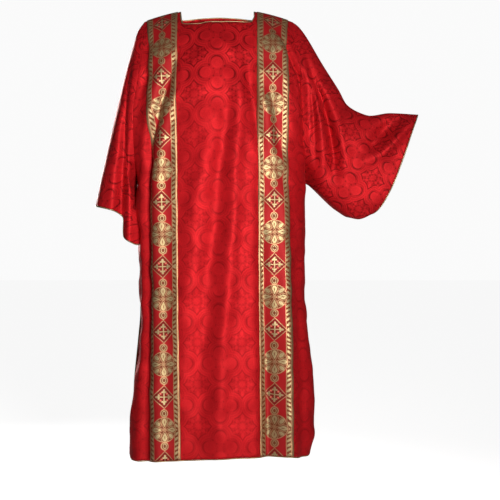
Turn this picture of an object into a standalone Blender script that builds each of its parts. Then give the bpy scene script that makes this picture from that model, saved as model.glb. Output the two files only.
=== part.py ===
"""Dalmatic: a red damask vestment with two galloon bands, as worn, with nobody in it.

Metres, +Z up. The front faces -Y and +X is the wearer's left. The origin is the
middle of the neck opening, on the shoulder line, where shoulders carry it.
Each cut piece is a wall made from a grid of points on its middle surface. The front
and the back are split into three nodes each, where the bands cover the seams.
"""
from collections import namedtuple

import bpy
import numpy as np

# Cloth and trim
WALL = 0.002
SEAM_GAP = 0.0003
BAND_THICK = 0.0012
PIPING_RADIUS = 0.0015
PIPING_SIDES = 6

# Cut sizes, measured from the centre line and down from the shoulder line
NECK_HALF_WIDTH = 0.105
NECK_ROWS = 1           # rows that end at the side of the neckline
# depth on the centre line, how much lower for each metre to the wearer's right, and
# how square its corners are: 2 is an ellipse
Neck = namedtuple("Neck", "depth tilt corner")
NECKS = {"front": Neck(0.077, 0.04, 4.5), "back": Neck(0.044, 0.0, 2.3)}
BAND_INNER = 0.1115
BAND_OUTER = 0.2005
GATHER = 0.037          # the folds draw the columns together by this share each metre
BAND_CELLS = 3
ARMHOLE_DEPTH = 0.50
SLIT_TOP = 0.83
SLIT_PIPING_START = 0.858
HEM_DOWN = 1.2675
HEM_TILT = 0.038        # the hem hangs lower on the wearer's right
HEM_CORNER_RIGHT = 0.050
HEM_CORNER_LEFT = 0.085

# The wearer leans a little, so the centre line drifts as it goes down
CENTRE_TOP = -0.0017
CENTRE_SWAY = 0.0102    # metres of drift for each metre down

# Grid: rows between the shoulder, armpit, slit top and hem, and rings in a sleeve
ARMHOLE_ROWS = 14
SIDE_SEAM_ROWS = 6
SLIT_ROWS = 7
SLEEVE_RINGS = 16
SECTION_STEPS = 240
CUT_STEP = 0.001        # step for reading a surface's slope
OUTER_SHARES = (0.20, 0.40, 0.60, 0.78, 0.92, 1.0)
FRONT_CENTRE = (0.0, 0.020, 0.040, 0.060, 0.080, 0.094, 0.102)
BACK_CENTRE = (0.0, 0.032, 0.064, 0.094)

# One row for each level of a panel: where its middle and its two side edges lie.
# corner is how squarely the panel turns to its side: 1 is an ellipse, less is squarer.
PanelRow = namedtuple("PanelRow", "down mid_y mid_z edge_y edge_z right_x left_x corner")
FRONT_ROWS = (
    PanelRow(0.00, 0.000, 0.010, 0.000, -0.028, -0.205, 0.207, 1.0),
    PanelRow(0.04, -0.036, -0.011, -0.022, -0.060, -0.2065, 0.209, 1.6),
    PanelRow(0.09, -0.072, -0.050, -0.048, -0.108, -0.209, 0.215, 2.0),
    PanelRow(0.17, -0.107, -0.122, -0.078, -0.185, -0.217, 0.231, 2.0),
    PanelRow(0.30, -0.135, -0.250, -0.085, -0.300, -0.230, 0.239, 2.0),
    PanelRow(0.42, -0.147, -0.370, -0.060, -0.410, -0.228, 0.241, 1.4),
    PanelRow(0.50, -0.150, -0.450, 0.000, -0.479, -0.2225, 0.2425, 0.62),
    PanelRow(0.70, -0.155, -0.650, 0.000, -0.670, -0.2182, 0.2415, 0.60),
    PanelRow(0.83, -0.158, -0.780, 0.000, -0.798, -0.2165, 0.2410, 0.60),
    PanelRow(0.87, -0.159, -0.820, -0.012, -0.836, -0.2105, 0.2440, 0.60),
    PanelRow(0.95, -0.161, -0.900, -0.024, -0.913, -0.2100, 0.2515, 0.60),
    PanelRow(1.10, -0.166, -1.050, -0.030, -1.059, -0.2195, 0.2660, 0.60),
    PanelRow(1.20, -0.169, -1.150, -0.031, -1.157, -0.2242, 0.2655, 0.60),
    PanelRow(1.30, -0.172, -1.250, -0.032, -1.255, -0.2290, 0.2430, 0.60),
)
BACK_ROWS = (
    PanelRow(0.00, 0.000, 0.010, 0.000, -0.028, -0.205, 0.207, 1.0),
    PanelRow(0.04, 0.036, -0.008, 0.022, -0.060, -0.2065, 0.209, 1.6),
    PanelRow(0.09, 0.071, -0.046, 0.048, -0.108, -0.209, 0.215, 2.0),
    PanelRow(0.17, 0.101, -0.117, 0.078, -0.185, -0.217, 0.231, 2.0),
    PanelRow(0.30, 0.118, -0.246, 0.085, -0.300, -0.230, 0.239, 2.0),
    PanelRow(0.42, 0.124, -0.366, 0.060, -0.410, -0.228, 0.241, 1.4),
    PanelRow(0.50, 0.127, -0.446, 0.000, -0.479, -0.2225, 0.2425, 0.62),
    PanelRow(0.70, 0.136, -0.646, 0.000, -0.670, -0.2182, 0.2415, 0.60),
    PanelRow(0.83, 0.143, -0.776, 0.000, -0.798, -0.2165, 0.2410, 0.60),
    PanelRow(0.87, 0.146, -0.816, 0.010, -0.836, -0.2170, 0.2410, 0.60),
    PanelRow(0.95, 0.151, -0.896, 0.018, -0.913, -0.2240, 0.2470, 0.60),
    PanelRow(1.10, 0.161, -1.046, 0.022, -1.059, -0.2370, 0.2590, 0.60),
    PanelRow(1.20, 0.167, -1.146, 0.023, -1.157, -0.2385, 0.2580, 0.60),
    PanelRow(1.30, 0.172, -1.246, 0.024, -1.255, -0.2400, 0.2370, 0.60),
)

# One row for each long fold of a panel, as a line down the cut; a valley has a
# height below zero, and a fold that runs out of the hem ends past it.
PanelFold = namedtuple("PanelFold", "top_down top_across low_down low_across height width")
FRONT_FOLDS = (
    PanelFold(0.26, -0.008, 1.18, -0.112, 0.009, 0.022),
    PanelFold(0.24, 0.030, 1.50, -0.078, -0.008, 0.020),
    PanelFold(0.20, 0.078, 1.60, -0.010, 0.012, 0.021),
    PanelFold(0.20, 0.100, 1.60, 0.064, -0.006, 0.020),
    PanelFold(0.55, 0.120, 1.60, 0.118, -0.009, 0.018),
    PanelFold(0.50, 0.153, 1.60, 0.146, 0.006, 0.018),
    PanelFold(0.22, -0.146, 1.60, -0.146, 0.006, 0.020),
    PanelFold(0.22, -0.182, 1.60, -0.184, -0.005, 0.018),
    PanelFold(0.12, 0.214, 1.60, 0.214, 0.005, 0.020),
)
BACK_FOLDS = (
    PanelFold(0.22, -0.052, 1.60, -0.128, 0.011, 0.026),
    PanelFold(0.30, -0.004, 1.60, -0.050, -0.009, 0.026),
    PanelFold(0.18, 0.044, 1.60, 0.036, 0.012, 0.026),
    PanelFold(0.34, 0.088, 1.60, 0.108, -0.009, 0.024),
    PanelFold(0.26, 0.142, 1.60, 0.170, 0.009, 0.024),
    PanelFold(0.30, -0.150, 1.60, -0.190, -0.008, 0.022),
)
FOLD_EASE = 0.25        # share of a fold's length over which it rises and dies
FOLD_CLEAR_TOP = 0.10   # folds start below the shoulder
FOLD_CLEAR_SIDE = 0.035 # and stay off the side seams

# One row for each station of a sleeve, 0 at the armhole and 1 at the cuff: its
# upper edge, its under edge, how far it swells to front and back, and how far the
# line between the two edges bows towards the cuff.
SleeveRow = namedtuple(
    "SleeveRow", "along upper_x upper_z under_x under_z mid_y front back bow")
UNDER_SQUARE = 0.55     # how much squarer a sleeve is at its under edge than at its upper one

RAISED_ROWS = (
    SleeveRow(0.00, 0.2070, -0.028, 0.2425, -0.4790, 0.000, 0.085, 0.085, 0.000),
    SleeveRow(0.05, 0.2225, -0.039, 0.2520, -0.4835, 0.000, 0.084, 0.084, 0.000),
    SleeveRow(0.10, 0.2420, -0.063, 0.2600, -0.4900, 0.000, 0.083, 0.083, 0.000),
    SleeveRow(0.30, 0.2910, -0.146, 0.2925, -0.5215, 0.000, 0.078, 0.076, 0.002),
    SleeveRow(0.48, 0.3370, -0.220, 0.3210, -0.5480, -0.004, 0.072, 0.070, 0.006),
    SleeveRow(0.575, 0.3600, -0.261, 0.3380, -0.5600, -0.006, 0.068, 0.066, 0.010),
    SleeveRow(0.68, 0.4020, -0.286, 0.3580, -0.5725, -0.008, 0.062, 0.060, 0.018),
    SleeveRow(0.73, 0.4250, -0.292, 0.3685, -0.5748, -0.009, 0.060, 0.058, 0.020),
    SleeveRow(0.85, 0.4800, -0.2848, 0.3920, -0.5790, -0.010, 0.055, 0.053, 0.026),
    SleeveRow(1.00, 0.5560, -0.289, 0.4200, -0.5660, -0.010, 0.050, 0.048, 0.032),
)
HANGING_ROWS = (
    SleeveRow(0.00, -0.2050, -0.028, -0.2225, -0.4790, 0.000, 0.085, 0.085, 0.016),
    SleeveRow(0.06, -0.2240, -0.055, -0.2272, -0.4845, 0.000, 0.084, 0.084, 0.022),
    SleeveRow(0.115, -0.2335, -0.085, -0.2268, -0.4945, 0.000, 0.083, 0.083, 0.028),
    SleeveRow(0.21, -0.2464, -0.134, -0.2258, -0.5110, 0.000, 0.080, 0.082, 0.034),
    SleeveRow(0.47, -0.2800, -0.268, -0.2244, -0.5550, 0.000, 0.078, 0.082, 0.026),
    SleeveRow(0.73, -0.3108, -0.403, -0.2236, -0.5990, 0.002, 0.080, 0.082, 0.012),
    SleeveRow(1.00, -0.3415, -0.542, -0.2228, -0.6440, 0.004, 0.086, 0.084, 0.000),
)
ARMHOLE_BLEND = 0.35    # share of the sleeve that still follows the armhole's own curve

# One row for each fold of a sleeve's front, as a line seen from the front.
# It has no height at its start, its height at the middle, and its end height.
SleeveFold = namedtuple(
    "SleeveFold", "x z mid_x mid_z end_x end_z height end_height width")
RAISED_FOLDS = (
    SleeveFold(0.246, -0.090, 0.252, -0.200, 0.258, -0.360, 0.010, 0.000, 0.013),
    SleeveFold(0.250, -0.120, 0.306, -0.300, 0.338, -0.480, -0.015, -0.010, 0.014),
    SleeveFold(0.288, -0.270, 0.296, -0.370, 0.302, -0.470, 0.009, 0.000, 0.013),
    SleeveFold(0.510, -0.306, 0.470, -0.345, 0.440, -0.395, -0.020, 0.000, 0.020),
    SleeveFold(0.545, -0.320, 0.457, -0.410, 0.380, -0.430, 0.010, 0.000, 0.020),
)
HANGING_FOLDS = (
    SleeveFold(-0.236, -0.100, -0.254, -0.380, -0.265, -0.620, -0.015, -0.032, 0.018),
    SleeveFold(-0.231, -0.400, -0.236, -0.520, -0.243, -0.650, 0.006, 0.010, 0.013),
)
# The hanging sleeve's folded cuff: its outer part hangs higher than its inner part,
# and the inner part's fold is pushed out under it.
CuffStep = namedtuple("CuffStep", "share lift shift")
STRAIGHT_CUFF = (CuffStep(0.00, 0.000, 0.000), CuffStep(1.00, 0.000, 0.000))
HANGING_CUFF = (
    CuffStep(0.00, 0.000, 0.000),
    CuffStep(0.30, 0.022, 0.000),
    CuffStep(0.50, 0.032, 0.000),
    CuffStep(0.61, 0.030, 0.004),
    CuffStep(0.71, -0.016, 0.021),
    CuffStep(0.82, -0.022, 0.012),
    CuffStep(1.00, 0.000, 0.000),
)
HANGING_HUG = 0.072     # how far the hanging sleeve's front laps round the body's side
HUG_BLEND = 0.8         # share of the sleeve over which it comes to do so

# Colour, roughness and metallic value of each material
Finish = namedtuple("Finish", "colour roughness metallic")
FINISHES = {
    "damask": Finish((0.42, 0.012, 0.020, 1.0), 0.50, 0.0),
    "galloon": Finish((0.60, 0.36, 0.14, 1.0), 0.42, 0.5),
    "piping": Finish((0.72, 0.52, 0.26, 1.0), 0.40, 0.6),
}


def column(table, name):
    """One named column of a table, as an array."""
    return np.array([getattr(row, name) for row in table])


def smooth(xs, ys, x):
    """A monotone cubic curve through (xs, ys), read at each x."""
    step = np.diff(xs)
    slope = np.diff(ys) / step
    tangent = np.zeros(len(ys))
    tangent[0], tangent[-1] = slope[0], slope[-1]
    total = slope[:-1] + slope[1:]
    product = slope[:-1] * slope[1:]
    np.divide(2 * product, total, out=tangent[1:-1], where=product > 0)
    k = np.clip(np.searchsorted(xs, x) - 1, 0, len(step) - 1)
    t = (x - xs[k]) / step[k]
    rise = ys[k] * (1 + 2 * t) * (1 - t) ** 2 + ys[k + 1] * t * t * (3 - 2 * t)
    return rise + step[k] * t * (1 - t) * (tangent[k] * (1 - t) - tangent[k + 1] * t)


def read_row(table, key, x):
    """Every column of a table at each x, where key names the column that x runs along."""
    xs = column(table, key)
    names = [name for name in table[0]._fields if name != key]
    return {name: smooth(xs, column(table, name), x) for name in names}


def ease(x):
    """0 below 0, 1 above 1, and a soft S between."""
    x = np.clip(x, 0.0, 1.0)
    return x * x * (3 - 2 * x)


def unit(vectors):
    return vectors / np.linalg.norm(vectors, axis=-1, keepdims=True)


# ---- panels ------------------------------------------------------------------

def half_sections(rows, side, down):
    """At each level, half of a panel's section: lengths from its middle, and points."""
    row = read_row(rows, "down", down)
    turn = np.linspace(0.0, np.pi / 2, SECTION_STEPS)[None]
    mid_x = CENTRE_TOP + CENTRE_SWAY * down
    edge_x = np.where(side > 0, row["left_x"], row["right_x"])
    fall = np.abs(np.cos(turn))
    points = np.stack([
        mid_x[:, None] + (edge_x - mid_x)[:, None] * np.sin(turn),
        row["edge_y"][:, None]
        + (row["mid_y"] - row["edge_y"])[:, None] * fall ** row["corner"][:, None],
        row["edge_z"][:, None] + (row["mid_z"] - row["edge_z"])[:, None] * fall ** 2], axis=2)
    lengths = np.linalg.norm(np.diff(points, axis=1), axis=2)
    start = np.zeros((len(down), 1))
    return np.concatenate([start, np.cumsum(lengths, axis=1)], axis=1), points


def side_length(rows, side, down):
    """From the centre line to the side edge, along the cloth."""
    return half_sections(rows, side, down)[0][:, -1]


def plain_panel(rows, across, down):
    """Points of a panel before its folds, at places of its cut."""
    lengths, points = half_sections(rows, across, down)
    place = np.minimum(np.abs(across), lengths[:, -1])
    k = np.clip(np.sum(lengths < place[:, None], axis=1) - 1, 0, SECTION_STEPS - 2)
    each = np.arange(len(down))
    share = (place - lengths[each, k]) / (lengths[each, k + 1] - lengths[each, k])
    return points[each, k] + (points[each, k + 1] - points[each, k]) * share[:, None]


def outward(surface, across, down, facing):
    """Outward directions of a surface; facing is -1 for the front and 1 for the back."""
    sideways = surface(across + CUT_STEP, down) - surface(across - CUT_STEP, down)
    lower = surface(across, down + CUT_STEP) - surface(across, np.maximum(down - CUT_STEP, 0))
    return unit(facing * np.cross(sideways, lower))


def fold_height(rows, folds, across, down):
    """How far the folds lift a panel at each place of its cut."""
    total = np.zeros(len(across))
    for fold in folds:
        along = (down - fold.top_down) / (fold.low_down - fold.top_down)
        centre = fold.top_across + (fold.low_across - fold.top_across) * along
        swell = ease(along / FOLD_EASE) * ease((1 - along) / FOLD_EASE)
        total += fold.height * swell * np.exp(-((across - centre) / fold.width) ** 2)
    to_side = side_length(rows, across, down) - np.abs(across)
    return total * ease(to_side / FOLD_CLEAR_SIDE) * ease(down / FOLD_CLEAR_TOP)


def neck_edge(across, neck):
    """How far below the shoulder line the neckline lies."""
    side_end = seam_levels()[NECK_ROWS]
    share = np.minimum(np.abs(across) / NECK_HALF_WIDTH, 1.0)
    round_off = (1 - share ** neck.corner) ** (1 / neck.corner)
    return side_end + (neck.depth - neck.tilt * across - side_end) * round_off


def hem_edge(across, to_side):
    """How far below the shoulder line the hem lies, with its rounded corner."""
    corner = np.where(across > 0, HEM_CORNER_LEFT, HEM_CORNER_RIGHT)
    short = np.maximum(corner - to_side, 0.0)
    lift = corner - np.sqrt(corner ** 2 - short ** 2)
    return HEM_DOWN - HEM_TILT * across - lift


def seam_levels():
    """The rows from the shoulder to the armpit and on to the slit top."""
    armhole = np.linspace(0, ARMHOLE_DEPTH, ARMHOLE_ROWS + 1)
    return np.append(armhole, np.linspace(ARMHOLE_DEPTH, SLIT_TOP, SIDE_SEAM_ROWS + 1)[1:])


def row_levels(top, low):
    """How far down each row lies in columns that run from top to low."""
    seam = seam_levels()[:, None]
    start = seam[NECK_ROWS]
    first = (SLIT_PIPING_START - SLIT_TOP) / (HEM_DOWN - SLIT_TOP)
    slit = np.linspace(first, 1, SLIT_ROWS)[:, None]
    upper = top + (seam - start) * (SLIT_TOP - top) / (SLIT_TOP - start)
    return np.concatenate([upper, SLIT_TOP + slit * (low - SLIT_TOP)])


def panel_columns(centre):
    """A panel's columns from the wearer's right to left: side, across, share past the band."""
    band = np.linspace(BAND_INNER, BAND_OUTER, BAND_CELLS + 1)
    half = [(across, 0.0) for across in (*centre, NECK_HALF_WIDTH, *band)]
    half += [(BAND_OUTER, share) for share in OUTER_SHARES]
    right = [(-1.0, *entry) for entry in reversed(half[1:])]
    return np.array(right + [(1.0, *entry) for entry in half])


def panel_grid(rows, folds, centre, neck, facing):
    """A panel's middle surface, rows by columns, and its outward directions."""
    side, across, share = panel_columns(centre).T
    hem_half = side_length(rows, side, np.full(len(side), HEM_DOWN))
    to_side = (1 - share) * (hem_half - across * (1 - GATHER * HEM_DOWN))
    top = neck_edge(side * across, neck)
    low = hem_edge(side * (hem_half - to_side), to_side)
    down = row_levels(top, low)
    shape = (*down.shape, 3)
    side, across, share = (np.tile(values, len(down)) for values in (side, across, share))
    down = down.ravel()
    across = across * (1 - GATHER * down)
    place = side * (across + share * (side_length(rows, side, down) - across))

    def plain(across, down):
        return plain_panel(rows, across, down)

    def folded(across, down):
        edge = side_length(rows, across, down)
        across = np.clip(across, -edge, edge)
        lift = fold_height(rows, folds, across, down)[:, None]
        return plain(across, down) + outward(plain, across, down, facing) * lift

    points = folded(place, down).reshape(shape)
    normals = outward(folded, place, down, facing).reshape(shape)
    seam = facing * SEAM_GAP / 2
    points[0, across[:shape[1]] >= NECK_HALF_WIDTH, 1] = seam
    points[ARMHOLE_ROWS:ARMHOLE_ROWS + SIDE_SEAM_ROWS + 1, [0, -1], 1] = seam
    return points, normals


def flatten_seams(offsets, columns_on_shoulder):
    """Turn the offsets along the shoulder and side seams square to the seam."""
    last = ARMHOLE_ROWS + SIDE_SEAM_ROWS + 1
    for rows, cols in (((0,), columns_on_shoulder), (range(ARMHOLE_ROWS, last), (0, -1))):
        for i in rows:
            for j in cols:
                offsets[i, j, 1] = 0.0
                offsets[i, j] = unit(offsets[i, j])


# ---- sleeves -----------------------------------------------------------------

def fold_lift(folds, points):
    """How far a sleeve's folds lift each of its points, seen from the front."""
    total = np.zeros(len(points))
    for fold in folds:
        knots = np.array([[fold.x, fold.z], [fold.mid_x, fold.mid_z], [fold.end_x, fold.end_z]])
        heights = (0.0, fold.height, fold.end_height)
        nearest = np.full(len(points), np.inf)
        height = np.zeros(len(points))
        for k in (0, 1):
            run = knots[k + 1] - knots[k]
            offset = points[:, (0, 2)] - knots[k]
            along = np.clip(offset @ run / (run @ run), 0.0, 1.0)
            distance = np.linalg.norm(offset - along[:, None] * run, axis=1)
            closer = distance < nearest
            nearest = np.where(closer, distance, nearest)
            here = heights[k] + (heights[k + 1] - heights[k]) * ease(along)
            height = np.where(closer, here, height)
        total += height * np.exp(-(nearest / fold.width) ** 2)
    return total


def sleeve_grid(rows, folds, cuff, hug, side, armhole):
    """A sleeve's middle surface, rings by points: down the front, up the back."""
    count = len(armhole)
    half = count // 2
    even = 2 * np.pi * np.arange(count) / count
    drop = (armhole[:, 2] - armhole[0, 2]) / (armhole[half, 2] - armhole[0, 2])
    own = np.arccos(1 - 2 * np.clip(drop, 0, 1))
    own[half + 1:] = 2 * np.pi - own[half + 1:]
    alongs = np.linspace(0, 1, SLEEVE_RINGS + 1)[:, None]
    turns = own + (even - own) * ease(alongs)
    share = (1 - np.cos(turns)) / 2
    swell = np.sin(turns)
    round_out = np.sign(swell) * np.abs(swell) ** (1 - UNDER_SQUARE * share)
    row = read_row(rows, "along", alongs)
    chord_x = row["under_x"] - row["upper_x"]
    chord_z = row["under_z"] - row["upper_z"]
    bow = side * row["bow"] * np.abs(swell) * share / np.hypot(chord_x, chord_z)
    x = row["upper_x"] + chord_x * share - bow * chord_z
    x -= side * hug * ease(alongs / HUG_BLEND) * np.clip(swell, 0, 1) ** 2 * share ** 4
    y = row["mid_y"] - np.where(swell > 0, row["front"], row["back"]) * round_out
    z = row["upper_z"] + chord_z * share + bow * chord_x
    step = read_row(cuff, "share", share)
    x += side * np.where(swell > 0, step["shift"], 0) * alongs ** 2
    z += np.where(swell > 0, step["lift"], np.maximum(step["lift"], 0)) * alongs ** 2
    points = np.stack([x, y, z], axis=2)
    follow = np.clip(1 - alongs / ARMHOLE_BLEND, 0, 1) ** 2
    points += follow[:, :, None] * (armhole - points[0])[None]
    fade = ease(alongs / FOLD_EASE) * np.sqrt(np.clip(swell, 0, 1))
    points[:, :, 1] -= fold_lift(folds, points.reshape(-1, 3)).reshape(x.shape) * fade
    return points


def sleeve_normals(points, side):
    """Outward directions of a sleeve; side is 1 for the wearer's left."""
    along = np.gradient(points, axis=0)
    around = np.roll(points, -1, axis=1) - np.roll(points, 1, axis=1)
    return unit(side * np.cross(around, along))


def mitre(first, second):
    """The shared offset of two walls that meet at an angle."""
    middle = unit(first + second)
    reach = 1 / np.maximum(np.sum(middle * first, axis=-1, keepdims=True), 0.62)
    return middle * reach


# ---- meshes ------------------------------------------------------------------

def link(name, vertices, faces, finish):
    """Make one closed object, with its faces turned outward."""
    corners = np.array([[vertices[i] for i in face] for face in faces])
    volume = np.einsum("ij,ij->", corners[:, 0], np.cross(corners[:, 1], corners[:, 2]))
    if volume < 0:
        faces = [tuple(reversed(face)) for face in faces]
    mesh = bpy.data.meshes.new(name)
    mesh.from_pydata([tuple(v) for v in vertices], [], faces)
    mesh.materials.append(finish)
    mesh.shade_smooth()
    mesh.update()
    item = bpy.data.objects.new(name, mesh)
    bpy.context.scene.collection.objects.link(item)
    return item


def grid_faces(rows, cols, closed, hole):
    """Triangles over a grid, without the cells for which hole(i, j) is true."""
    faces = []
    for i in range(rows - 1):
        for j in range(cols if closed else cols - 1):
            if not hole(i, j):
                a, b = i * cols + j, i * cols + (j + 1) % cols
                faces += [(a, a + cols, b + cols), (a, b + cols, b)]
    return faces


def add_wall(name, inner, outer, closed, finish, hole=lambda i, j: False):
    """A wall between two grids of the same shape, closed along every free edge."""
    layer = grid_faces(*inner.shape[:2], closed, hole)
    used = sorted({corner for face in layer for corner in face})
    new = {old: index for index, old in enumerate(used)}
    layer = [tuple(new[corner] for corner in face) for face in layer]
    vertices = np.concatenate([inner.reshape(-1, 3)[used], outer.reshape(-1, 3)[used]])
    size = len(used)
    faces = layer + [tuple(size + corner for corner in reversed(face)) for face in layer]
    edges = {(face[k], face[(k + 1) % 3]) for face in layer for k in range(3)}
    for a, b in sorted(edges):
        if (b, a) not in edges:
            c, d = size + a, size + b
            across = np.linalg.norm(vertices[[a, b]] - vertices[[d, c]], axis=1)
            if across[0] < across[1]:
                faces += [(b, a, d), (a, c, d)]
            else:
                faces += [(b, a, c), (b, c, d)]
    return link(name, vertices, faces, finish)


def add_piping(name, edge, normals, behind, closed, finish):
    """A round cord just past a cloth edge; behind is a point of the cloth's side."""
    ahead = unit(np.roll(edge, -1, axis=0) - edge)
    back = np.roll(ahead, 1, axis=0)
    if not closed:
        ahead[-1], back[0] = back[-1], ahead[0]
    tangent = unit(ahead + back)
    reach = 1 / np.maximum(np.sum(tangent * ahead, axis=1, keepdims=True), 0.5)
    normals = unit(normals - tangent * np.sum(normals * tangent, axis=1, keepdims=True))
    away = np.cross(tangent, normals)
    away *= np.sign(np.sum(away * (edge - behind)))
    centres = edge + away * (PIPING_RADIUS + SEAM_GAP) * reach
    turns = 2 * np.pi * np.arange(PIPING_SIDES) / PIPING_SIDES
    rings = (centres[:, None]
             + PIPING_RADIUS * np.cos(turns)[None, :, None] * away[:, None]
             + PIPING_RADIUS * np.sin(turns)[None, :, None] * normals[:, None])
    count = len(edge)
    faces = []
    for k in range(count if closed else count - 1):
        for s in range(PIPING_SIDES):
            a, b = k * PIPING_SIDES + s, k * PIPING_SIDES + (s + 1) % PIPING_SIDES
            c, d = [(v + PIPING_SIDES) % (count * PIPING_SIDES) for v in (a, b)]
            faces += [(a, b, d), (a, d, c)]
    if not closed:
        last = (count - 1) * PIPING_SIDES
        for s in range(1, PIPING_SIDES - 1):
            faces += [(0, s + 1, s), (last, last + s, last + s + 1)]
    return link(name, rings.reshape(-1, 3), faces, finish)


def make_finish(name):
    finish = bpy.data.materials.new(name)
    finish.use_nodes = True
    shader = finish.node_tree.nodes["Principled BSDF"]
    colour, roughness, metallic = FINISHES[name]
    shader.inputs["Base Color"].default_value = colour
    shader.inputs["Roughness"].default_value = roughness
    shader.inputs["Metallic"].default_value = metallic
    finish.diffuse_color = colour
    return finish


# ---- the garment -------------------------------------------------------------

def add_bands(place, points, normals, finish):
    """The two galloon bands of a panel, on its own points."""
    start = len(OUTER_SHARES)
    inner_height = WALL / 2 + SEAM_GAP
    end = points.shape[1] - 1 - start
    for side, first in (("right", start), ("left", end - BAND_CELLS)):
        columns = slice(first, first + BAND_CELLS + 1)
        base, out = points[:, columns].copy(), normals[:, columns]
        base[-1] += (base[-2] - base[-1]) * 0.02
        add_wall(f"orphrey_{place}_{side}", base + out * inner_height,
                 base + out * (inner_height + BAND_THICK), False, finish)


def panel_parts(width):
    """A panel's three parts: the end of each one's name, and its first and last column."""
    seam = len(OUTER_SHARES) + 1
    last = width - 1 - seam
    return ("_side_right", 0, seam), ("", seam, last), ("_side_left", last, width - 1)


def part_points(points, first, last):
    """One part of a panel, drawn back from the seams that the bands cover."""
    part = points[:, first:last + 1].copy()
    if first > 0:
        part[:, 0] += unit(points[:, first + 1] - points[:, first - 1]) * SEAM_GAP / 2
    if last < points.shape[1] - 1:
        part[:, -1] -= unit(points[:, last + 1] - points[:, last - 1]) * SEAM_GAP / 2
    return part


def hem_path(grid):
    """A panel's free edge: down one slit, along the hem, up the other slit."""
    start = ARMHOLE_ROWS + SIDE_SEAM_ROWS + 1
    return np.concatenate([grid[start:-1, 0], grid[-1], grid[-2:start - 1:-1, -1]])


def neck_path(grid):
    """A panel's neckline: down its right side, along its foot, up its left side."""
    first = len(OUTER_SHARES) + BAND_CELLS + 1
    last = grid.shape[1] - 1 - first
    down = grid[:NECK_ROWS, first]
    foot = grid[NECK_ROWS, first:last + 1]
    return np.concatenate([down, foot, grid[:NECK_ROWS, last][::-1]])


def build():
    damask, galloon, piping = (make_finish(name) for name in ("damask", "galloon", "piping"))
    panels = {
        "front": (FRONT_ROWS, FRONT_FOLDS, FRONT_CENTRE, -1),
        "back": (BACK_ROWS, BACK_FOLDS, BACK_CENTRE, 1),
    }
    neck_first = len(OUTER_SHARES) + BAND_CELLS + 1
    grids, offsets = {}, {}
    for name, (rows, folds, centre, facing) in panels.items():
        grids[name], offsets[name] = panel_grid(rows, folds, centre, NECKS[name], facing)
        width = grids[name].shape[1]
        shoulder = [*range(neck_first + 1), *range(width - neck_first - 1, width)]
        flatten_seams(offsets[name], shoulder)

    sleeves = {
        "left": (RAISED_ROWS, RAISED_FOLDS, STRAIGHT_CUFF, 0.0, 1, -1),
        "right": (HANGING_ROWS, HANGING_FOLDS, HANGING_CUFF, HANGING_HUG, -1, 0),
    }
    for name, (rows, folds, cuff, hug, side, edge) in sleeves.items():
        down = slice(0, ARMHOLE_ROWS + 1)
        up = slice(ARMHOLE_ROWS - 1, 0, -1)
        armhole = np.concatenate([grids["front"][down, edge], grids["back"][up, edge]])
        panel_out = np.concatenate([offsets["front"][down, edge], offsets["back"][up, edge]])
        armhole[[0, ARMHOLE_ROWS], 1] = 0.0
        points = sleeve_grid(rows, folds, cuff, hug, side, armhole)
        out = sleeve_normals(points, side)
        shared = mitre(panel_out, out[0])
        shared[[0, ARMHOLE_ROWS], 1] = 0.0
        out[0] = shared
        offsets["front"][down, edge] = shared[:ARMHOLE_ROWS + 1]
        offsets["back"][down, edge] = shared[np.arange(0, -ARMHOLE_ROWS - 1, -1)]
        around = np.roll(armhole, -1, axis=0) - np.roll(armhole, 1, axis=0)
        away = unit(np.cross(around, shared))
        away *= np.sign(np.sum(away * (points[1] - points[0]), axis=1, keepdims=True))
        points[0] += away * SEAM_GAP
        add_wall(f"sleeve_{name}", points - out * WALL / 2, points + out * WALL / 2, True, damask)
        add_piping(f"piping_cuff_{name}", points[-1], out[-1], points[-2].mean(axis=0),
                   True, piping)

    for name, points in grids.items():
        out = offsets[name]
        neck_last = points.shape[1] - 1 - neck_first
        for ending, first, last in panel_parts(points.shape[1]):
            part, part_out = part_points(points, first, last), out[:, first:last + 1]
            add_wall(name + ending, part - part_out * WALL / 2, part + part_out * WALL / 2,
                     False, damask,
                     lambda i, j: i < NECK_ROWS and neck_first <= first + j < neck_last)
        add_bands(name, points, out, galloon)
        add_piping(f"piping_hem_{name}", hem_path(points), hem_path(out),
                   points[ARMHOLE_ROWS].mean(axis=0), False, piping)

    front, back = (neck_path(grids[name]) for name in panels)
    front_out, back_out = (neck_path(offsets[name]) for name in panels)
    loop = np.concatenate([front, back[-2:0:-1]])
    loop[[0, len(front) - 1], 1] = 0.0
    out = np.concatenate([front_out, back_out[-2:0:-1]])
    add_piping("piping_neck", loop, out, 2 * loop, True, piping)


for old in list(bpy.data.objects):
    bpy.data.objects.remove(old, do_unlink=True)
build()
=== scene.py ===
import functools
import math
from collections import namedtuple

import bpy
import numpy as np
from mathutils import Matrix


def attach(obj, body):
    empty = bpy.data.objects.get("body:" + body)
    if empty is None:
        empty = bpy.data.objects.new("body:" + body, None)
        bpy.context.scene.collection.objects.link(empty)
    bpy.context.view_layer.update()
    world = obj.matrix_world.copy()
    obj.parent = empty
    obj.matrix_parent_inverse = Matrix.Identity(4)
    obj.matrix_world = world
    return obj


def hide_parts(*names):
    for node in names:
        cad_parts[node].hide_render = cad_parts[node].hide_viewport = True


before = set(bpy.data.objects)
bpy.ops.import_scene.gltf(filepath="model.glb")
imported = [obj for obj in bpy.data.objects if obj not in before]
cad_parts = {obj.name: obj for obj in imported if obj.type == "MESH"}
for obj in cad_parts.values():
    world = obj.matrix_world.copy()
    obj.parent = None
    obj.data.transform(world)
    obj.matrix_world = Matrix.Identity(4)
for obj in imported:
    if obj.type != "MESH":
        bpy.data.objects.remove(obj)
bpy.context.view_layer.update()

bpy.ops.object.select_all(action="DESELECT")

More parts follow.
